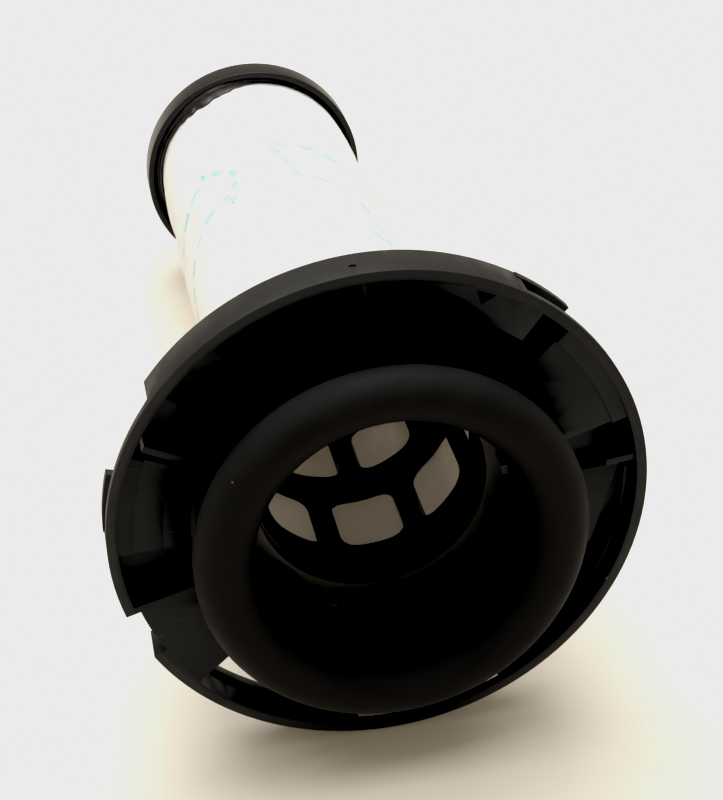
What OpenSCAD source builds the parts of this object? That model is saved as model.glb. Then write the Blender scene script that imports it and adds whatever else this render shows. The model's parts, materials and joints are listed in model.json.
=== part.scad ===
// Cylindrical filter cartridge: a bayonet flange with a soft face seal carries a
// windowed cage, and a fleece sleeve runs over the cage to a closed end cap.
// Each piece is drawn around its own Z axis, seal side up, with Z = 0 at the front
// face of the flange and angles counted anticlockwise as seen from the seal side.
// lay_down() then sets the cartridge on the floor, with the cap towards +Y and the
// origin under its middle. It rests on the bayonet rim and on the end cap.

/* [Flange] */
// Outside diameter of the bayonet rim
flange_d = 90; // [88:0.5:92]
// Depth of the rim, front to back
rim_depth = 7.1; // [6.8:0.1:8]
// Wall thickness of the rim
rim_wall = 1.8; // [1.5:0.1:2]
// Height of the thin front edge that runs over the bayonet slots
front_edge_h = 1.6; // [1.2:0.1:1.8]
// Thickness of the dish floor
floor_t = 1.7; // [1.4:0.1:1.9]
// How far the bayonet fingers stand out beyond the rim
finger_proud = 0.2; // [0:0.1:1]

/* [Neck and seal] */
// Inside diameter of the outlet neck
neck_bore_d = 45; // [45:0.2:45.6]
// Outside diameter of the soft seal
seal_d = 65.2; // [65:0.2:67]
// Height of the seal's front above the flange face
seal_front = 12.9; // [12.5:0.1:14]
// Travel of the seal when it is squeezed
seal_travel = 2; // [1:0.5:2]

/* [Cage and sleeve] */
// Distance from the flange face to the back of the end cap
cartridge_len = 148.5; // [144:0.5:152]
// Outside diameter of the cage
cage_d = 41.8; // [41:0.1:41.8]
// Wall thickness of the cage
cage_wall = 1.5; // [1.2:0.1:1.8]
// Thickness of the fleece
fleece_t = 1.05; // [0.8:0.05:1.1]
// Windows around one row of the cage
windows_around = 8; // [6:1:8]
// Rows of windows along the cage
window_rows = 5; // [4:1:5]
// Width of one window
window_w = 11.6; // [8:0.2:12]
// Length of one window
window_len = 15.4; // [12:0.1:16]
// Distance between rows of windows
row_pitch = 22.7; // [21:0.1:23.6]

/* [End cap] */
// Outside diameter of the end cap
cap_d = 48.5; // [47.5:0.5:51]
// Depth of the cap's skirt
cap_depth = 6.6; // [6:0.2:9]
// Wall thickness of the cap
cap_wall = 1.3; // [1:0.1:1.4]

/* [Hidden] */
$fn = 96;
// Clearance where one piece sits in another, and how deep features of a piece sink into it
fit = 0.05;
root = 0.4;

flange_r = flange_d / 2;
rim_in = flange_r - rim_wall;
rim_back = -rim_depth;
floor_top = rim_back + floor_t;
cap_back = -cartridge_len;

// Bayonet: three fingers, each in a gap between two lengths of full-depth wall
bayonets = 3;
bayonet_pitch = 360 / bayonets;
wall_start = 57.8;
wall_end = 143.3;
finger_start = 44.8;
finger_root = 1;
finger_h = 1.7;
finger_t = 2.5;
finger_out = flange_r + finger_proud;
finger_step = 0.1;
gap_relief = 0.3;

// Index notch in the rim
notch_start = 196.6;
notch_end = 209;
notch_depth = 2.5;

// Small gate dimple in the outside of the rim
gate_angle = 94;
gate_z = -3;
gate_r = 0.6;
gate_depth = 0.3;

// Open window in the dish floor, and the fins behind the dish
dish_window_start = 222.5;
dish_window_end = 245;
window_in = 33.4;
window_out = 42.3;
back_fins = 12;
back_fin_t = 1.2;
back_fin_h = 4;
back_fin_len = 6;

// Neck, which carries the seal in front; a wider seat behind its bore holds the cage
neck_bore = neck_bore_d / 2;
neck_seat = neck_bore + 0.4;
neck_out = neck_bore + 1.8;
neck_front = 2;
neck_step = -4.6;
neck_back = -17;

// Seal: a round bead on a tapering skirt, hollowed from behind
bead_r = 4.7;
bead_c = seal_d / 2 - bead_r;
bead_z = seal_front - bead_r;
skirt_in = neck_out + 0.3;
skirt_base = 29.2;
skirt_back = floor_top + seal_travel + 0.2;
hollow_in = 26.4;
hollow_out = 27.8;
seat_in = skirt_base + 0.8;
seat_out = seat_in + 1.2;
seat_h = 1.2;

// Cage, which starts behind the retaining ring
cage_out = cage_d / 2;
cage_in = cage_out - cage_wall;
ring_front = -9;
ring_back = -11.4;
collar_back = -14.6;
first_window = -20;
cage_back = cap_back + cap_wall + fit;
window_corner = 2.6;
corner_steps = 3;
window_turn = 7;
tab_span = 5;
tab_front = -4.8;
tab_start = 245;

// Sleeve and end cap
sleeve_in = cage_out + fit;
sleeve_out = sleeve_in + fleece_t;
sleeve_front = collar_back - fit;
sleeve_back = cap_back + cap_wall + 1.2;
cap_out = cap_d / 2;
cap_in = cap_out - cap_wall;
cap_front = cap_back + cap_depth;
cap_edge = 0.6;
cap_dish_r = 17;
cap_dish = 0.5;

// Glue beads: clearance all round, and how far each reaches in or out
skin = 0.02;
bead_depth = 1.5;
bead_proud = 1.2;
bead_lip = 0.7;
bead_sunk = 1.2;

// The cartridge lies on the cap's back edge and on whichever of a wall corner and a finger is lower
corner_off = 270 - (wall_end + bayonet_pitch);
finger_off = finger_start + 2 * bayonet_pitch - 270;
contact_r = max(flange_r * cos(corner_off), finger_out * cos(finger_off));
tilt = atan((contact_r - cap_out) / (cartridge_len - cap_edge - rim_depth));
axis_h = contact_r * cos(tilt) + rim_depth * sin(tilt);

// How far the seal and the cap reach from the flange face along the floor
seal_reach = bead_z * cos(tilt) + bead_c * sin(tilt) + bead_r;
cap_reach = cartridge_len * cos(tilt) + (cap_out - cap_edge) * sin(tilt);

module lay_down() {
    translate([0, (seal_reach - cap_reach) / 2, axis_h]) rotate([90 - tilt, 0, 0]) children();
}

// A ring about Z between two radii and two heights
module ring(r_in, r_out, z0, z1) {
    translate([0, 0, z0]) difference() {
        cylinder(r = r_out, h = z1 - z0);
        translate([0, 0, -1]) cylinder(r = r_in, h = z1 - z0 + 2);
    }
}

// The part of a ring between two angles
module sector(r_in, r_out, a0, a1, z0, z1) {
    rotate([0, 0, a0]) translate([0, 0, z0]) rotate_extrude(angle = a1 - a0)
        translate([r_in, 0]) square([r_out - r_in, z1 - z0]);
}

// A straight fin of thickness t, standing on the dish floor at an angle
module fin(a, r_in, r_out, t, z1) {
    rotate([0, 0, a]) translate([r_in, -t / 2, floor_top - root])
        cube([r_out - r_in, t, z1 - floor_top + root]);
}

// A point in the plane of the flange, from a share of its radius and an angle
function polar(share, a) = flange_r * share * [cos(a), sin(a)];

// A flat pad of any outline on the dish floor, trimmed to the rim
module pad(points, z1) {
    intersection() {
        translate([0, 0, floor_top - root]) linear_extrude(z1 - floor_top + root) polygon(points);
        translate([0, 0, rim_back]) cylinder(r = rim_in + root, h = rim_depth);
    }
}

// Raised plates in the dish: start angle, end angle, inner share, outer share, height
PLATES = [
    [195, 221.5, 0.71, 0.98, 0],
    [156.4, 181.1, 0.91, 0.966, -0.5],
    [156.2, 181.3, 0.80, 0.925, -0.9],
    [156, 181.5, 0.71, 0.815, -1.4],
    [17.5, 44.8, 0.90, 0.966, -0.5],
    [17.7, 45, 0.72, 0.915, -0.9],
    [126.5, 133.5, 0.90, 0.966, -1.2],
    [141, 149, 0.90, 0.966, -1.2],
    [332, 363, 0.925, 0.945, -2.2],
];
// Hollows behind the wider plates: start angle, end angle, inner share, outer share, roof
HOLLOWS = [
    [211, 218.5, 0.75, 0.93, -1.9],
    [197.5, 208, 0.75, 0.90, -1.9],
    [159, 178.5, 0.75, 0.93, -2.9],
    [20.5, 42, 0.76, 0.93, -2.4],
];
// Fins on the dish floor: angle, inner share, outer share, thickness, height
FINS = [
    [93, 0.78, 0.966, 1.4, -1.1],
    [135, 0.825, 0.966, 1.2, -1.7],
    [154, 0.71, 0.93, 1.2, -1.0],
    [6.5, 0.85, 0.966, 1.2, -0.8],
    [47, 0.70, 0.76, 0.7, -0.7],
    [50, 0.70, 0.76, 0.7, -0.7],
    [262, 0.72, 0.966, 1.2, -2.0],
    [300, 0.72, 0.966, 1.2, -2.0],
];

// Corner plate with a straight inner edge and a small three-cornered recess
module corner_plate() {
    difference() {
        pad([polar(0.835, 52), polar(0.94, 82), polar(1.1, 82), polar(1.1, 52)], -0.7);
        translate([0, 0, -2.4]) linear_extrude(3)
            polygon([polar(0.9, 66), polar(0.945, 63.8), polar(0.945, 68.2)]);
    }
}

// Sunken plate with a straight outer edge
module low_plate() {
    pad([polar(0.72, 4), polar(0.91, 4), polar(0.855, -19), polar(0.72, -19)], -2.6);
}

// Everything on the flange that is round: neck, dish floor, seal seat and rim
module flange_round() {
    rotate_extrude() polygon([
        [neck_seat, neck_back], [neck_out, neck_back], [neck_out, rim_back], [flange_r, rim_back],
        [flange_r, 0], [rim_in, 0], [rim_in, floor_top], [seat_out, floor_top],
        [seat_out, floor_top + seat_h], [seat_in, floor_top + seat_h], [seat_in, floor_top],
        [neck_out, floor_top], [neck_out, neck_front], [neck_bore, neck_front],
        [neck_bore, neck_step], [neck_seat, neck_step]]);
}

// The gaps in the rim wall, where the pins of the housing enter
module bayonet_gaps() {
    for (k = [0 : bayonets - 1])
        sector(rim_in - gap_relief, flange_r + 1, wall_end - k * bayonet_pitch,
               wall_start + bayonet_pitch - k * bayonet_pitch, rim_back - 1, -front_edge_h);
}

module bayonet_fingers() {
    for (k = [0 : bayonets - 1])
        sector(finger_out - finger_t, finger_out, finger_start + k * bayonet_pitch,
               wall_start + finger_root + k * bayonet_pitch,
               rim_back + finger_step, rim_back + finger_step + finger_h);
}

// Short stiffening fins between the neck and the back of the dish
module back_fins() {
    for (a = [360 / (2 * back_fins) : 360 / back_fins : 360]) rotate([0, 0, a])
        translate([neck_out - root, -back_fin_t / 2, rim_back - back_fin_h])
            cube([back_fin_len + root, back_fin_t, back_fin_h + root]);
}

module flange() color([0.09, 0.085, 0.08]) lay_down() difference() {
    union() {
        difference() {
            flange_round();
            bayonet_gaps();
        }
        bayonet_fingers();
        back_fins();
        for (p = PLATES)
            sector(flange_r * p[2], flange_r * p[3], p[0], p[1], floor_top - root, p[4]);
        for (f = FINS) fin(f[0], flange_r * f[1], flange_r * f[2], f[3], f[4]);
        corner_plate();
        low_plate();
    }
    sector(flange_r - notch_depth, flange_r + 1, notch_start, notch_end, rim_back - 1, 1);
    sector(window_in, window_out, dish_window_start, dish_window_end, rim_back - 1, floor_top + 1);
    for (h = HOLLOWS) sector(flange_r * h[2], flange_r * h[3], h[0], h[1], rim_back - 1, h[4]);
    rotate([0, 0, gate_angle]) translate([flange_r - gate_depth, 0, gate_z]) rotate([0, 90, 0])
        cylinder(r = gate_r, h = 1, $fn = 24);
}

module seal_ring() color([0.16, 0.15, 0.135]) lay_down() rotate_extrude() difference() {
    union() {
        translate([bead_c, bead_z]) circle(r = bead_r);
        polygon([[skirt_in, skirt_back], [skirt_base, skirt_back],
                 [bead_c + bead_r * cos(40), bead_z - bead_r * sin(40)], [bead_c, bead_z],
                 [skirt_in, bead_z]]);
    }
    translate([hollow_in, skirt_back - 1]) square([hollow_out - hollow_in, bead_z - skirt_back]);
}

module retaining_ring() color([0.13, 0.125, 0.12]) lay_down() {
    ring(cage_in + root, neck_seat - fit, ring_back, ring_front);
    for (k = [0 : bayonets - 1])
        sector(neck_bore - 1, neck_seat - 2 * fit, tab_start + k * bayonet_pitch,
               tab_start + tab_span + k * bayonet_pitch, ring_front - root, tab_front);
}

// Outline of one window, round at its corners: length along X, width along Y
window_outline = [
    for (q = [0 : 3], i = [0 : corner_steps])
        let (a = 90 * (q + i / corner_steps), sx = q == 0 || q == 3 ? 1 : -1, sy = q < 2 ? 1 : -1)
        [sx * (window_len / 2 - window_corner) + window_corner * cos(a),
         sy * (window_w / 2 - window_corner) + window_corner * sin(a)]
];

// A window cutter that points outwards along X, centred on the window's middle
module window() {
    rotate([0, 90, 0]) linear_extrude(cage_out + 1) polygon(window_outline);
}

module cage() color([0.07, 0.07, 0.07]) lay_down() difference() {
    rotate_extrude() polygon([
        [cage_in, cage_back], [cage_out, cage_back], [cage_out, collar_back],
        [neck_seat - fit, collar_back], [neck_seat - fit, ring_back - fit], [cage_in, ring_back - fit]]);
    for (row = [0 : window_rows - 1], k = [0 : windows_around - 1])
        translate([0, 0, first_window - window_len / 2 - row * row_pitch])
            rotate([0, 0, window_turn + (k + 0.5 * (row % 2)) * 360 / windows_around]) window();
}

module fleece_sleeve() color([0.93, 0.92, 0.9]) lay_down()
    ring(sleeve_in, sleeve_out, sleeve_back, sleeve_front);

module front_glue_bead() color([0.8, 0.76, 0.66]) lay_down() rotate_extrude()
    polygon([[sleeve_out + skin, neck_back + bead_depth], [neck_seat - skin, neck_back + bead_depth],
             [neck_seat - skin, neck_back - skin], [neck_seat + bead_lip, neck_back - skin],
             [sleeve_out + skin, neck_back - bead_proud]]);

module rear_glue_bead() color([0.2, 0.17, 0.13]) lay_down()
    ring(sleeve_out + skin, cap_in - skin, cap_back + cap_wall + skin, cap_front - bead_sunk);

module end_cap() color([0.1, 0.095, 0.09]) lay_down() rotate_extrude() polygon([
    [0, cap_back + cap_dish], [cap_dish_r, cap_back + cap_dish], [cap_dish_r + cap_dish, cap_back],
    [cap_out - cap_edge, cap_back], [cap_out, cap_back + cap_edge], [cap_out, cap_front],
    [cap_in, cap_front], [cap_in, cap_back + cap_wall], [0, cap_back + cap_wall]]);

flange();
seal_ring();
retaining_ring();
cage();
fleece_sleeve();
front_glue_bead();
rear_glue_bead();
end_cap();
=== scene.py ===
"""Looks of a cylindrical filter cartridge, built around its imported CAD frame.

Pieces are made in the cartridge's own frame, in millimetres: Z is its axis, seal side up,
Z = 0 is the front face of the flange, and angles run anticlockwise as seen from the seal.
"""

import json
import math
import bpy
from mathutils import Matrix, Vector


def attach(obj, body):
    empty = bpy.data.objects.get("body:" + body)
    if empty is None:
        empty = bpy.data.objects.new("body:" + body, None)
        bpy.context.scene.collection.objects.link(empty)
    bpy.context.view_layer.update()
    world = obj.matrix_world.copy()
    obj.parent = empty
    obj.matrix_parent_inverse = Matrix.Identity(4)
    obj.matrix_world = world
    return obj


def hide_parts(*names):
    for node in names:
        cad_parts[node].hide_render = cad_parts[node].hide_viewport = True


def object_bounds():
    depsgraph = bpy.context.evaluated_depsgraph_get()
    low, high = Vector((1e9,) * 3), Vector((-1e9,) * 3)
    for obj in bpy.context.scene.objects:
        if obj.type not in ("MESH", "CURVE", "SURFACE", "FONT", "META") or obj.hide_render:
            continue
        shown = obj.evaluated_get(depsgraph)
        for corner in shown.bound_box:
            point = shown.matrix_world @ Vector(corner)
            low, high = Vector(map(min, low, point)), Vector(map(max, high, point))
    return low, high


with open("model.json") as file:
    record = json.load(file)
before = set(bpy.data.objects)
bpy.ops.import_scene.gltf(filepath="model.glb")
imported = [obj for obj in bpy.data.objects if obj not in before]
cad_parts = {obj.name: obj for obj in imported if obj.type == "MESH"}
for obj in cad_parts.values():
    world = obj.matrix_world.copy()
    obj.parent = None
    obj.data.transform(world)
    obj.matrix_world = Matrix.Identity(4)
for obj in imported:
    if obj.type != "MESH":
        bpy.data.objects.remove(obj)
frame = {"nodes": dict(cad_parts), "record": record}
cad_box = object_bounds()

from types import SimpleNamespace

import bmesh
import bpy
import numpy as np
from mathutils import Matrix, Vector, noise
from mathutils.bvhtree import BVHTree

MM = 0.001
TURN = 2 * math.pi
TURNS = 288
ARC_STEPS = 5

scene = bpy.context.scene
mounts = {mount["name"]: mount for mount in frame["record"]["mounts"]}
front = Vector(mounts["outlet_bore"]["axis"]).normalized()
across = Vector((1, 0, 0))
face = Vector(mounts["bayonet_rim"]["pos_m"])
place = Matrix.Translation(face) @ Matrix((across, front.cross(across), front)).transposed().to_4x4()


# ---------------------------------------------------------------- sizes from the frame

def span(node):
    """How far a CAD node reaches in the cartridge's own frame, in millimetres."""
    to_local = place.inverted()
    points = [to_local @ vertex.co / MM for vertex in frame["nodes"][node].data.vertices]
    radii = [point.xy.length for point in points]
    heights = [point.z for point in points]
    return SimpleNamespace(r_in=min(radii), r_out=max(radii), back=min(heights), front=max(heights))


seal = span("seal_ring")
sleeve = span("fleece_sleeve")
cap = span("end_cap")
rear_bead = span("rear_glue_bead")
front_bead = span("front_glue_bead")
flange = span("flange")


# ---------------------------------------------------------------- mesh helpers

def polar(radius, angle, height):
    return Vector((radius * math.cos(angle), radius * math.sin(angle), height))


def add_piece(name, points, faces, material, body="cartridge"):
    """A piece with its points in the cartridge's own frame, in millimetres."""
    mesh = bpy.data.meshes.new(name)
    mesh.from_pydata([point * MM for point in points], [], faces)
    shape = bmesh.new()
    shape.from_mesh(mesh)
    bmesh.ops.recalc_face_normals(shape, faces=shape.faces)
    shape.to_mesh(mesh)
    shape.free()
    mesh.shade_smooth()
    mesh.materials.append(material)
    piece = bpy.data.objects.new(name, mesh)
    scene.collection.objects.link(piece)
    piece.matrix_world = place
    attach(piece, body)
    return piece


def swept(outlines, closed=True):
    """Points and faces of a turned shape, from one (radius, height) outline for each step round
    the axis. An open outline starts and ends near the axis, where a disc closes it."""
    turns = len(outlines)
    size = len(outlines[0])
    points = [polar(radius, TURN * i / turns, height)
              for i, outline in enumerate(outlines) for radius, height in outline]
    faces = []
    for i in range(turns):
        here = i * size
        there = (i + 1) % turns * size
        for j in range(size if closed else size - 1):
            k = (j + 1) % size
            faces.append((here + j, here + k, there + k, there + j))
    if not closed:
        faces.append(tuple(i * size for i in range(turns)))
        faces.append(tuple((i + 1) * size - 1 for i in reversed(range(turns))))
    return points, faces


def rounded(corners):
    """An open outline through (radius, height, rounding) corners, each replaced by an arc.
    Its two ends stay where they are."""
    outline = [corners[0][:2]]
    for before, (x, y, rounding), after in zip(corners, corners[1:], corners[2:]):
        corner = Vector((x, y))
        back = (Vector(before[:2]) - corner).normalized()
        ahead = (Vector(after[:2]) - corner).normalized()
        half = back.angle(ahead) / 2
        centre = corner + (back + ahead).normalized() * rounding / math.sin(half)
        start = (corner + back * rounding / math.tan(half) - centre).normalized()
        stop = (corner + ahead * rounding / math.tan(half) - centre).normalized()
        outline += [tuple(centre + rounding * start.slerp(stop, i / ARC_STEPS))
                    for i in range(ARC_STEPS + 1)]
    outline.append(corners[-1][:2])
    return outline


def unevenness(angle, height, size, seed=0):
    """Smooth noise from -1 to 1 on the cartridge's surface, with features of a size in mm."""
    return noise.noise(polar(sleeve.r_out, angle, height) / size + Vector((seed, seed, seed)))


# ---------------------------------------------------------------- materials

class Surface:
    """A material made of nodes. Its textures run in the cartridge's own frame, in millimetres."""

    def __init__(self, name, on_cad, **constants):
        self.material = bpy.data.materials.new(name)
        self.material.use_nodes = True
        self.tree = self.material.node_tree
        self.shader = self.tree.nodes["Principled BSDF"]
        for socket, value in constants.items():
            self.shader.inputs[socket.replace("_", " ")].default_value = value
        mapping = self.node("Mapping", vector_type="TEXTURE")
        mapping.inputs["Scale"].default_value = (MM, MM, MM)
        if on_cad:
            mapping.inputs["Location"].default_value = face
            mapping.inputs["Rotation"].default_value = place.to_euler()
        self.link(self.node("TexCoord").outputs["Object"], mapping.inputs["Vector"])
        self.local = mapping.outputs["Vector"]

    def node(self, kind, **settings):
        made = self.tree.nodes.new("ShaderNode" + kind)
        for setting, value in settings.items():
            setattr(made, setting, value)
        return made

    def link(self, value, socket):
        """Joins an output to a socket, or sets the socket to a plain value."""
        if isinstance(value, bpy.types.NodeSocket):
            self.tree.links.new(value, socket)
        else:
            socket.default_value = value

    def to_shader(self, socket, value):
        self.link(value, self.shader.inputs[socket])

    def math(self, operation, a, b=0.0, clamp=False):
        made = self.node("Math", operation=operation, use_clamp=clamp)
        self.link(a, made.inputs[0])
        self.link(b, made.inputs[1])
        return made.outputs[0]

    def remap(self, value, low, high, new_low, new_high):
        """Moves a value from one range to another, smoothly and without leaving the new one."""
        made = self.node("MapRange", interpolation_type="SMOOTHSTEP")
        for k, number in enumerate((value, low, high, new_low, new_high)):
            self.link(number, made.inputs[k])
        return made.outputs[0]

    def mix(self, share, a, b):
        made = self.node("Mix", data_type="RGBA")
        self.link(share, made.inputs["Factor"])
        self.link(a, made.inputs[6])
        self.link(b, made.inputs[7])
        return made.outputs[2]

    def noise(self, size, detail=3.0, stretch=(1, 1, 1), distortion=0.0):
        """Noise with features of a size in mm, longer along an axis by its stretch."""
        scaled = self.node("VectorMath", operation="DIVIDE")
        self.link(self.local, scaled.inputs[0])
        scaled.inputs[1].default_value = [size * share for share in stretch]
        made = self.node("TexNoise")
        made.inputs["Scale"].default_value = 1
        made.inputs["Detail"].default_value = detail
        made.inputs["Distortion"].default_value = distortion
        self.link(scaled.outputs[0], made.inputs["Vector"])
        return made.outputs["Fac"]

    def specks(self, spacing, size):
        """1 on scattered round specks, 0 elsewhere: about one in each cell of the spacing."""
        made = self.node("TexVoronoi")
        made.inputs["Scale"].default_value = 1 / spacing
        self.link(self.local, made.inputs["Vector"])
        return self.remap(made.outputs["Distance"], size / spacing, 0.6 * size / spacing, 0.0, 1.0)

    def radius(self):
        """Distance from the cartridge's axis, in millimetres."""
        flat = self.node("VectorMath", operation="MULTIPLY")
        self.link(self.local, flat.inputs[0])
        flat.inputs[1].default_value = (1, 1, 0)
        length = self.node("VectorMath", operation="LENGTH")
        self.link(flat.outputs[0], length.inputs[0])
        return length.outputs["Value"]

    def bump(self, *layers):
        """Raises the surface by (height texture, depth in mm, strength) layers."""
        normal = None
        for texture, depth, strength in layers:
            made = self.node("Bump")
            made.inputs["Distance"].default_value = depth * MM
            self.link(strength, made.inputs["Strength"])
            self.link(texture, made.inputs["Height"])
            if normal is not None:
                self.link(normal, made.inputs["Normal"])
            normal = made.outputs["Normal"]
        self.to_shader("Normal", normal)


# The rim's matt grain starts within the thickness of its wall
RIM_WALL = 1.9
RIM_GRAIN_FROM = 1.3


def flange_plastic():
    """Black moulding: a fine matt grain on the rim's outer wall, a polished dish inside."""
    surface = Surface("flange_plastic", on_cad=True, Specular_IOR_Level=0.25)
    rim = surface.remap(surface.radius(), flange.r_out - RIM_WALL, flange.r_out - RIM_GRAIN_FROM, 0.0, 1.0)
    grain = surface.noise(0.22, detail=2)
    peel = surface.noise(2.4, detail=1)
    scuffs = surface.remap(surface.noise(1.2, detail=6, stretch=(6, 1, 6)), 0.62, 0.72, 0.0, 1.0)
    dust = surface.specks(9, 0.22)
    dish_rough = surface.remap(surface.noise(7, detail=4), 0.3, 0.7, 0.34, 0.42)
    rim_rough = surface.remap(surface.noise(5, detail=4), 0.3, 0.7, 0.46, 0.6)
    inside = surface.math("SUBTRACT", 1.0, rim)
    rough = surface.math("ADD", surface.math("MULTIPLY", dish_rough, inside),
                         surface.math("MULTIPLY", rim_rough, rim))
    rough = surface.math("ADD", rough, surface.math("MULTIPLY", scuffs, 0.12), clamp=True)
    black = surface.mix(surface.noise(16), (0.0045, 0.0042, 0.0038, 1), (0.007, 0.0065, 0.006, 1))
    faded = surface.mix(rim, black, (0.02, 0.0195, 0.019, 1))
    worn = surface.mix(surface.math("MULTIPLY", scuffs, 0.25), faded, (0.05, 0.048, 0.045, 1))
    surface.to_shader("Base Color", surface.mix(surface.math("MULTIPLY", dust, 0.7), worn,
                                                (0.42, 0.4, 0.36, 1)))
    surface.to_shader("Roughness", rough)
    surface.bump((grain, 0.05, surface.math("MULTIPLY", rim, 0.55)), (peel, 0.02, 0.06),
                 (scuffs, 0.01, 0.3))
    return surface.material


def satin_plastic(name, on_cad, tone, rough, grain):
    """Black satin moulding with a fine grain, faint flow marks and a little dust."""
    surface = Surface(name, on_cad, Specular_IOR_Level=0.3)
    flow = surface.noise(9, detail=5, distortion=0.6)
    dust = surface.math("MULTIPLY", surface.specks(7, 0.18), 0.5)
    black = surface.mix(flow, (0.7 * tone, 0.67 * tone, 0.63 * tone, 1),
                        (tone, 0.96 * tone, 0.92 * tone, 1))
    surface.to_shader("Base Color", surface.mix(dust, black, (0.4, 0.38, 0.35, 1)))
    surface.to_shader("Roughness", surface.remap(flow, 0.3, 0.7, 0.85 * rough, 1.15 * rough))
    surface.bump((surface.noise(grain, detail=2), 0.04, 0.4), (surface.noise(3), 0.05, 0.2))
    return surface.material


def seal_rubber():
    """Soft matt rubber with a dry bloom and a few specks of lint."""
    surface = Surface("seal_rubber", on_cad=False, Specular_IOR_Level=0.1)
    bloom = surface.remap(surface.noise(11, detail=5), 0.35, 0.7, 0.0, 1.0)
    lint = surface.math("MULTIPLY", surface.specks(8, 0.2), 0.3)
    black = surface.mix(bloom, (0.0148, 0.0137, 0.0124, 1), (0.0178, 0.0165, 0.015, 1))
    surface.to_shader("Base Color", surface.mix(lint, black, (0.4, 0.36, 0.3, 1)))
    surface.to_shader("Roughness", surface.remap(bloom, 0.0, 1.0, 0.62, 0.76))
    surface.bump((surface.noise(0.16, detail=3), 0.03, 0.5), (surface.noise(1.8, detail=3), 0.05, 0.25))
    return surface.material


def fleece_cloth():
    """White non-woven fleece: matted fibres, slightly uneven, with painted shade that greys the dips of
    the fibre bump.
    """
    surface = Surface("fleece", on_cad=False, Sheen_Weight=0.15, Sheen_Roughness=0.6,
                      Subsurface_Weight=0.85, Subsurface_Scale=0.0025,
                      Subsurface_Radius=(1.0, 0.9, 0.8))
    fibres = surface.noise(0.35, detail=6, distortion=2.5)
    mat = surface.noise(1.6, detail=5, distortion=1.2)
    clouds = surface.noise(14, detail=3)
    pale = surface.mix(clouds, (0.80, 0.79, 0.765, 1), (0.87, 0.865, 0.85, 1))
    # Painted shade: the colour greys towards (0.66, 0.64, 0.60) where the fibre bump is lowest
    surface.to_shader("Base Color", surface.mix(surface.remap(fibres, 0.35, 0.5, 0.35, 0.0), pale,
                                                (0.66, 0.64, 0.60, 1)))
    surface.to_shader("Roughness", surface.remap(mat, 0.3, 0.7, 0.85, 1.0))
    surface.bump((fibres, 0.16, 0.55), (mat, 0.2, 0.5))
    return surface.material


def print_ink():
    """Pale cyan ink, broken up where the fibres took less of it."""
    surface = Surface("print_ink", on_cad=False, Subsurface_Weight=0.6, Subsurface_Scale=0.0015)
    taken = surface.remap(surface.noise(0.5, detail=5), 0.35, 0.6, 0.0, 1.0)
    surface.to_shader("Base Color", surface.mix(taken, (0.68, 0.83, 0.86, 1), (0.38, 0.72, 0.8, 1)))
    surface.to_shader("Roughness", surface.remap(taken, 0.0, 1.0, 0.95, 0.8))
    surface.bump((surface.noise(0.35, detail=6, distortion=2.5), 0.08, 0.4))
    return surface.material


def glue(name, colour, dark_colour, rough):
    """Set glue: lumpy and slightly glossy, darker where it is thick."""
    surface = Surface(name, on_cad=False)
    lumps = surface.noise(1.5, detail=4)
    surface.to_shader("Base Color", surface.mix(surface.remap(lumps, 0.35, 0.65, 0.0, 1.0),
                                                colour, dark_colour))
    surface.to_shader("Roughness", surface.remap(lumps, 0.3, 0.7, rough, 1.6 * rough))
    surface.bump((lumps, 0.3, 0.6), (surface.noise(0.3), 0.05, 0.4))
    return surface.material


# ---------------------------------------------------------------- CAD nodes that show

def finish_cad_node(name, material, edge):
    """Gives a CAD node its material, and rounds its sharp edges by a width in mm."""
    node = frame["nodes"][name]
    node.data.materials.clear()
    node.data.materials.append(material)
    weld = node.modifiers.new("weld", "WELD")
    weld.merge_threshold = 0.001 * MM
    flat = node.modifiers.new("flat_faces", "DECIMATE")
    flat.decimate_type = "DISSOLVE"
    flat.angle_limit = math.radians(0.5)
    bevel = node.modifiers.new("round_edges", "BEVEL")
    bevel.width = edge * MM
    bevel.segments = 2
    bevel.limit_method = "ANGLE"
    bevel.angle_limit = math.radians(30)
    bevel.harden_normals = True
    node.data.shade_smooth()


# ---------------------------------------------------------------- seal

# The bead's section runs round from below its outer side to below its inner side
BEAD_STEPS = 110
BEAD_START = math.radians(-50)
BEAD_STOP = math.radians(222)
INSET = 0.08
OVAL = 0.6
SWELL = 0.3
RIPPLE = 0.06
WANDER = 0.05
PARTING_ANGLE = math.radians(14)
PARTING_WIDTH = 0.035
PARTING_HEIGHT = 0.07
# Skirt: shares of the bead's radius, and the steps of its outer flare as (outwards, upwards)
SKIRT_IN = 0.75
SKIRT_OUT = 0.2
SKIRT_WALL = 0.33
HOLLOW_ROOF = 1.1
SKIRT_DRAFT = 0.05
THROAT = 0.6
FLARE = [(0, 0), (0.1, 2.5), (0.5, 4.5), (1.15, 6.2)]


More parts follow.
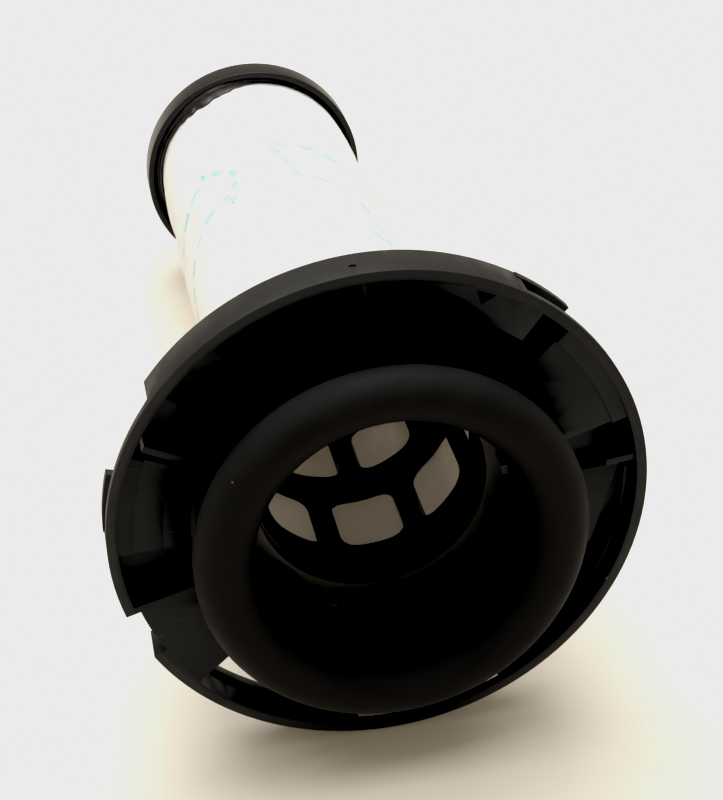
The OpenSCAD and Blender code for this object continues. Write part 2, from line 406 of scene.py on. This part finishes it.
def seal_outline(angle):
    """The seal's section: a bead with a thin moulding line, on a skirt hollowed from behind.
    The soft bead sits a little oval: longer up and down than across, and thicker at the sides."""
    skirt_radius = (seal.r_out - seal.r_in) / 2 - INSET
    radius = skirt_radius + SWELL * math.cos(2 * angle)
    centre = (seal.r_out + seal.r_in) / 2
    height = seal.front - radius - INSET + RIPPLE * unevenness(angle, 0, 30)
    side = WANDER * unevenness(angle, 50, 25) - OVAL * math.cos(2 * angle)
    bead = []
    for k in range(BEAD_STEPS + 1):
        turn = BEAD_START + (BEAD_STOP - BEAD_START) * k / BEAD_STEPS
        line = PARTING_HEIGHT * math.exp(-((turn - PARTING_ANGLE) / PARTING_WIDTH) ** 2)
        bead.append((centre + side + (radius + line) * math.cos(turn),
                     height + (radius + line) * math.sin(turn)))
    skirt_in = centre - SKIRT_IN * skirt_radius
    skirt_out = centre + SKIRT_OUT * skirt_radius
    wall = SKIRT_WALL * skirt_radius
    roof = height - HOLLOW_ROOF * skirt_radius
    inner = [(skirt_in + SKIRT_DRAFT, bead[-1][1] - THROAT), (skirt_in, seal.back)]
    hollow = [(skirt_in + wall, seal.back), (skirt_in + wall, roof),
              (skirt_out - wall, roof), (skirt_out - wall, seal.back)]
    outer = [(skirt_out + outwards, seal.back + upwards) for outwards, upwards in FLARE]
    return bead + inner + hollow + outer


def make_seal(material):
    points, faces = swept([seal_outline(TURN * i / TURNS) for i in range(TURNS)])
    piece = add_piece("soft_seal", points, faces, material, body="seal")
    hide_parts("seal_ring")


# ---------------------------------------------------------------- fleece sleeve

ROWS = 200
FLEECE_INSET = 0.1
# How far the fleece hangs into a window, and how much of that its lining follows
SAG = 0.3
LINING_SAG = 0.8
SOFTENING = 7
SAG_SHAPE = 1.5
# Unevenness of the fleece: depth, size of its features, seed
WRINKLES = [(0.1, 14, 0), (0.06, 3, 7), (0.05, 0.9, 3)]
FRAY = 0.35
END_INSET = 0.2
# Lap: where one edge of the fleece is welded over the other, and the dimpled weld along it
LAP_ANGLE = math.radians(-52)
LAP_WIDTH = 8
LAP_HEIGHT = 0.4
LAP_RISE = 0.8
LAP_FALL = 3
LAP_FADE = 12
WELD_AT = 0.4
WELD_WIDTH = 1.1
WELD_DEPTH = 0.9
WELD_PITCH = 3.2
# Pinch: how far and over what length the fleece is drawn in towards the cap
PINCH = 0.55
PINCH_LENGTH = 16
# A ray that looks for the cage starts this far outside the sleeve's lining
RAY_START = 0.5
RAY_LENGTH = 1.5


def sleeve_height(row):
    return sleeve.front + (sleeve.back - sleeve.front) * row / (ROWS - 1)


def open_share():
    """For each step round and along the sleeve, how far it is from the cage's wall: 0 where
    the cage carries it and 1 in the middle of a window."""
    node = frame["nodes"]["cage"].data
    tree = BVHTree.FromPolygons([vertex.co for vertex in node.vertices],
                                [tuple(polygon.vertices) for polygon in node.polygons])
    opened = np.zeros((TURNS, ROWS))
    for i in range(TURNS):
        for j in range(ROWS):
            angle = TURN * i / TURNS
            start = place @ (polar(sleeve.r_in + RAY_START, angle, sleeve_height(j)) * MM)
            inwards = (place.to_3x3() @ -polar(1, angle, 0)).normalized()
            hit = tree.ray_cast(start, inwards, RAY_LENGTH * MM)
            opened[i, j] = hit[0] is None
    for _ in range(SOFTENING):
        opened = (np.roll(opened, 1, 0) + np.roll(opened, -1, 0) + 2 * opened) / 4
        opened[:, 1:-1] = (opened[:, :-2] + opened[:, 2:] + 2 * opened[:, 1:-1]) / 4
    return opened ** SAG_SHAPE


def lap(angle, height):
    """Extra height where one edge of the fleece is welded over the other, in a dimpled strip."""
    arc = ((angle - LAP_ANGLE + math.pi) % TURN - math.pi) * sleeve.r_out
    if not 0 < arc < LAP_WIDTH:
        return 0
    ends = min(1, (sleeve.front - height) / LAP_FADE, (height - sleeve.back) / LAP_FADE)
    slope = min(1, arc / LAP_RISE) * min(1, (LAP_WIDTH - arc) / LAP_FALL)
    row = 0.5 + 0.5 * math.cos(TURN * height / WELD_PITCH)
    strip = max(0, 1 - abs(arc - WELD_AT * LAP_WIDTH) / WELD_WIDTH)
    return LAP_HEIGHT * max(0, ends) * (slope - WELD_DEPTH * strip * row)


def pinch(height):
    """How far the fleece is drawn in towards the cap, which holds it by its back end."""
    share = max(0, 1 - (height - sleeve.back) / PINCH_LENGTH)
    return PINCH * share * share * (3 - 2 * share)


def sleeve_surface():
    """How open the cage is under the fleece, and the fleece's outer radius, on the grid of
    steps round and along it."""
    opened = open_share()
    outer = np.zeros((TURNS, ROWS))
    for i in range(TURNS):
        angle = TURN * i / TURNS
        for j in range(ROWS):
            height = sleeve_height(j)
            wrinkles = sum(depth * unevenness(angle, height, size, seed)
                           for depth, size, seed in WRINKLES)
            outer[i, j] = (sleeve.r_out - FLEECE_INSET - SAG * opened[i, j] - pinch(height)
                           + wrinkles + lap(angle, height))
    return opened, outer


def make_sleeve(material, opened, outer):
    outlines = []
    for i in range(TURNS):
        angle = TURN * i / TURNS
        frayed = FRAY * unevenness(angle, 0, 2, seed=5)
        heights = [sleeve_height(j) for j in range(ROWS)]
        heights[0] -= END_INSET + frayed
        heights[-1] += END_INSET + frayed
        skin = [(outer[i, j], heights[j]) for j in range(ROWS)]
        lining = [(sleeve.r_in - LINING_SAG * SAG * opened[i, j], heights[j])
                  for j in reversed(range(ROWS))]
        outlines.append(skin + lining)
    points, faces = swept(outlines)
    piece = add_piece("fleece_wrap", points, faces, material)
    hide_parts("fleece_sleeve")


# ---------------------------------------------------------------- printed arrows

# Two curved arrows on one circle: where each starts and stops, in degrees
ARROWS = [(195, 104), (76, 10)]
ARROW_CENTRE = (-7, 66)
BODY_IN = 27
BODY_OUT = 41
HEAD_IN = 22
HEAD_OUT = 43.5
TIP_AHEAD = 9
TAIL_SLANT = 6.5
CURVE_STEPS = 24
# Dashes: their length and gap, the line's width and taper, and the ink's two faces
DASH = 3.6
GAP = 2.2
FINE_STEP = 0.5
LINE_WIDTH = 1.3
END_TAPER = 0.6
INK_LIFT = 0.05
INK_SINK = 0.1


def ring_point(radius, degrees):
    """A point of the turning mark on the unrolled sleeve: to the right, and away from the flange."""
    angle = math.radians(degrees)
    x, y = ARROW_CENTRE
    return Vector((x + radius * math.cos(angle), y + radius * math.sin(angle)))


def arrow_outline(start, stop):
    """A curved arrow that turns clockwise from its tail to its head, as a closed line."""
    shares = [k / CURVE_STEPS for k in range(CURVE_STEPS + 1)]
    outer = [ring_point(BODY_OUT, start + TAIL_SLANT + (stop - start - TAIL_SLANT) * share)
             for share in shares]
    inner = [ring_point(BODY_IN, start - TAIL_SLANT + (stop - start + TAIL_SLANT) * share)
             for share in reversed(shares)]
    head = [ring_point(HEAD_OUT, stop), ring_point((BODY_IN + BODY_OUT) / 2, stop - TIP_AHEAD),
            ring_point(HEAD_IN, stop)]
    return outer + head + inner


def dashes(outline):
    """Cuts a closed line into dashes, each a list of points about half a millimetre apart."""
    fine = []
    for a, b in zip(outline, outline[1:] + outline[:1]):
        count = max(1, round((b - a).length / FINE_STEP))
        fine += [a.lerp(b, k / count) for k in range(count)]
    found = []
    along = 0
    for a, b in zip(fine, fine[1:]):
        if along % (DASH + GAP) < DASH:
            if not found or found[-1][-1] != a:
                found.append([a])
            found[-1].append(b)
        along += (b - a).length
    return [dash for dash in found if len(dash) > 2]


def on_sleeve(point, outer, lift):
    """A point of the unrolled sleeve, on the fleece's surface or lifted off it."""
    angle = math.pi / 2 - point.x / sleeve.r_out
    column = round(angle / TURN * TURNS) % TURNS
    row = round((sleeve.front + point.y) / (sleeve.front - sleeve.back) * (ROWS - 1))
    return polar(outer[column, min(ROWS - 1, max(0, row))] + lift, angle, -point.y)


def make_arrows(material, outer):
    """Every dash is a thin flat strip of ink, closed all round and sunk a little into the fleece."""
    points = []
    faces = []
    for start, stop in ARROWS:
        for dash in dashes(arrow_outline(start, stop)):
            first = len(points)
            for k, point in enumerate(dash):
                ahead = dash[min(k + 1, len(dash) - 1)] - dash[max(k - 1, 0)]
                side = Vector((-ahead.y, ahead.x)).normalized() * LINE_WIDTH / 2
                narrow = END_TAPER if k in (0, len(dash) - 1) else 1
                for edge, lift in ((side, INK_LIFT), (-side, INK_LIFT),
                                   (-side, -INK_SINK), (side, -INK_SINK)):
                    points.append(on_sleeve(point + narrow * edge, outer, lift))
            for k in range(len(dash) - 1):
                a = first + 4 * k
                faces += [(a + j, a + (j + 1) % 4, a + 4 + (j + 1) % 4, a + 4 + j) for j in range(4)]
            last = first + 4 * (len(dash) - 1)
            faces += [(first, first + 1, first + 2, first + 3), (last + 3, last + 2, last + 1, last)]
    piece = add_piece("printed_arrows", points, faces, material)
    piece.data.shade_flat()


# ---------------------------------------------------------------- glue beads

# Front fillet: its depth in the fleece, its lumps, and the widths and heights of its corners
FRONT_SUNK = 0.2
FRONT_LUMPS = 0.3
LIP_WIDTH = 0.8
LIP_HEIGHT = 1.3
EDGE_HEIGHT = 1.1
SHOULDER_WIDTH = 0.2
SHOULDER_HEIGHT = 0.7
FOOT_WIDTH = 0.6
FOOT_HEIGHT = 0.15


def make_front_bead(material):
    """The glue fillet behind the neck, where the fleece goes in."""
    inner = front_bead.r_in - FRONT_SUNK
    lip = front_bead.r_out - LIP_WIDTH
    outlines = []
    for i in range(TURNS):
        angle = TURN * i / TURNS
        proud = FRONT_LUMPS * unevenness(angle, 0, 5, seed=11)
        back = front_bead.back - proud
        shoulder = front_bead.r_out - SHOULDER_WIDTH * (1 - proud)
        outlines.append([(inner, front_bead.front), (lip, front_bead.front),
                         (lip, back + LIP_HEIGHT), (front_bead.r_out, back + EDGE_HEIGHT),
                         (shoulder, back + SHOULDER_HEIGHT),
                         (front_bead.r_in + FOOT_WIDTH, back + FOOT_HEIGHT),
                         (inner, back - FRONT_SUNK)])
    points, faces = swept(outlines)
    piece = add_piece("front_glue_fillet", points, faces, material)
    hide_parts("front_glue_bead")


# The glue in the cap reaches higher round one angle, and creeps further up the fleece there
SMEAR_ANGLE = math.radians(119)
SMEAR_SPREAD = math.radians(24)
SMEAR_RISE = 1.3
SMEAR_CREEP = 3
CREEP = 0.6
RAGGED_CREEP = 0.3
REAR_LUMPS = 0.4
REAR_SUNK = 0.3
# Its section between the cap and the fleece: out from the fleece, and up from the glue's level
REAR_FILLET = [(0.55, 0.1), (0.3, 0.35)]
CREEP_THICKNESS = 0.2
CREEP_SLOPE = 0.25
CAP_OFF_CENTRE = Vector((-0.5, 0, 0))


def make_rear_bead(material):
    """The dark glue in the cap. Its front edge is ragged, and it has crept onto the fleece at one side."""
    outlines = []
    for i in range(TURNS):
        angle = TURN * i / TURNS
        off = (angle - SMEAR_ANGLE + math.pi) % TURN - math.pi
        smear = math.exp(-(off / SMEAR_SPREAD) ** 2)
        ragged = 0.5 + 0.5 * unevenness(angle, 0, 2.2, seed=2)
        level = rear_bead.front + REAR_LUMPS * unevenness(angle, 0, 6, seed=4) + SMEAR_RISE * smear
        creep = level + CREEP + SMEAR_CREEP * ragged * smear + RAGGED_CREEP * ragged
        fleece = rear_bead.r_in - PINCH
        inner = fleece - REAR_SUNK
        outline = [(inner, rear_bead.back), (rear_bead.r_out, rear_bead.back), (rear_bead.r_out, level)]
        outline += [(fleece + outwards, level + upwards) for outwards, upwards in REAR_FILLET]
        outline += [(fleece + CREEP_THICKNESS, creep - CREEP_SLOPE), (inner, creep)]
        outlines.append(outline)
    points, faces = swept(outlines)
    piece = add_piece("rear_glue_fillet", [point + CAP_OFF_CENTRE for point in points], faces, material)
    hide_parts("rear_glue_bead")


# ---------------------------------------------------------------- end cap

# Corners of the cap's back from its middle outwards: radius, height over its back, rounding.
# They are the gate mark, a shallow ring groove and the step up to the rim it stands on.
CAP_BACK = [(0.3, 0.62, 0), (1.3, 0.62, 0.05), (1.5, 0.5, 0.05),
            (8.9, 0.5, 0.05), (9.1, 0.42, 0.05), (9.4, 0.42, 0.05), (9.6, 0.5, 0.05),
            (17, 0.5, 0.15), (17.5, 0, 0.2)]
CAP_GAP = 0.02
CAP_BACK_EDGE = 0.8
CAP_FRONT_EDGE = 0.35
CAP_LIP_EDGE = 0.25
CAP_INNER_EDGE = 0.2


def make_cap(material):
    """The closed cup, turned with rounded edges, a stepped back and the gate mark at its centre."""
    wall = cap.r_out - rear_bead.r_out - CAP_GAP
    inside = cap.back + wall
    corners = [(radius, cap.back + height, rounding) for radius, height, rounding in CAP_BACK]
    corners += [(cap.r_out, cap.back, CAP_BACK_EDGE), (cap.r_out, cap.front, CAP_FRONT_EDGE),
                (cap.r_out - wall, cap.front, CAP_LIP_EDGE),
                (cap.r_out - wall, inside, CAP_INNER_EDGE), (CAP_BACK[0][0], inside, 0)]
    points, faces = swept([rounded(corners)] * TURNS, closed=False)
    piece = add_piece("closed_end_cap", [point + CAP_OFF_CENTRE for point in points], faces, material)
    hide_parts("end_cap")


# ---------------------------------------------------------------- floor, lights and camera

AZIMUTH = math.radians(11.34)
ELEVATION = math.radians(39.27)
DISTANCE = 294 * MM
AIM = face + Vector((-1.1, 12.6, 14.9)) * MM
LENS = 81
SENSOR = 36
FLOOR_REACH = 3
LIGHT_AT = Vector((-0.06, 0.3, 1.3))
LIGHT_SIZE = 1.5
LIGHT_POWER = 30
ROOM_COLOUR = (1.0, 0.86, 0.66, 1)
ROOM_STRENGTH = 0.6
PAPER_WHITE = 0.831
BLACK = (0.0172, 0.0148, 0.0118)


def make_floor():
    material = bpy.data.materials.new("pale_floor")
    material.use_nodes = True
    shader = material.node_tree.nodes["Principled BSDF"]
    shader.inputs["Base Color"].default_value = (0.86, 0.81, 0.73, 1)
    shader.inputs["Roughness"].default_value = 0.75
    corners = [(x * FLOOR_REACH, y * FLOOR_REACH, cad_box[0].z)
               for x, y in ((-1, -1), (1, -1), (1, 1), (-1, 1))]
    mesh = bpy.data.meshes.new("floor")
    mesh.from_pydata(corners, [], [(0, 1, 2, 3)])
    mesh.materials.append(material)
    floor = bpy.data.objects.new("floor", mesh)
    scene.collection.objects.link(floor)


def make_lights():
    """One soft square light overhead, in a warm dim room that fills the shadows."""
    data = bpy.data.lights.new("top_light", "AREA")
    data.size = LIGHT_SIZE
    data.energy = LIGHT_POWER
    light = bpy.data.objects.new("top_light", data)
    light.location = LIGHT_AT
    light.rotation_mode = "QUATERNION"
    light.rotation_quaternion = (AIM - LIGHT_AT).to_track_quat("-Z", "Y")
    scene.collection.objects.link(light)
    world = bpy.data.worlds.new("room")
    world.use_nodes = True
    background = world.node_tree.nodes["Background"]
    background.inputs["Color"].default_value = ROOM_COLOUR
    background.inputs["Strength"].default_value = ROOM_STRENGTH
    scene.world = world


def make_camera():
    away = Vector((-math.sin(AZIMUTH) * math.cos(ELEVATION), -math.cos(AZIMUTH) * math.cos(ELEVATION),
                   math.sin(ELEVATION)))
    data = bpy.data.cameras.new("camera")
    data.lens = LENS
    data.sensor_width = SENSOR
    data.clip_start = 0.01
    camera = bpy.data.objects.new("camera", data)
    camera.location = AIM + away * DISTANCE
    camera.rotation_mode = "QUATERNION"
    camera.rotation_quaternion = (-away).to_track_quat("-Z", "Y")
    scene.collection.objects.link(camera)
    scene.camera = camera


def set_tones():
    """The brightest tone is a pale grey, as on scanned paper, and the deepest tones fall to black."""
    view = scene.view_settings
    view.view_transform = "Standard"
    view.use_curve_mapping = True
    view.curve_mapping.extend = "HORIZONTAL"
    view.curve_mapping.curves[3].points[-1].location = (1, PAPER_WHITE)
    view.curve_mapping.black_level = BLACK
    view.curve_mapping.update()


# ---------------------------------------------------------------- the model

make_camera()
set_tones()
make_lights()
make_floor()
# Painted highlight: the retaining ring is really black, and its tone is raised to dark grey so its front
# edge reads as a bright line
ring_plastic = satin_plastic("ring_plastic", on_cad=True, tone=0.08, rough=0.35, grain=0.3)
cage_plastic = satin_plastic("cage_plastic", on_cad=True, tone=0.012, rough=0.32, grain=0.3)
cap_plastic = satin_plastic("cap_plastic", on_cad=False, tone=0.016, rough=0.36, grain=0.25)
finish_cad_node("flange", flange_plastic(), edge=0.22)
finish_cad_node("retaining_ring", ring_plastic, edge=0.12)
finish_cad_node("cage", cage_plastic, edge=0.2)
make_seal(seal_rubber())
open_grid, outer_grid = sleeve_surface()
make_sleeve(fleece_cloth(), open_grid, outer_grid)
make_arrows(print_ink(), outer_grid)
make_front_bead(glue("clear_glue", colour=(0.62, 0.56, 0.42, 1), dark_colour=(0.5, 0.42, 0.28, 1),
                     rough=0.25))
make_rear_bead(glue("dark_glue", colour=(0.03, 0.022, 0.015, 1), dark_colour=(0.012, 0.009, 0.007, 1),
                    rough=0.3))
make_cap(cap_plastic)
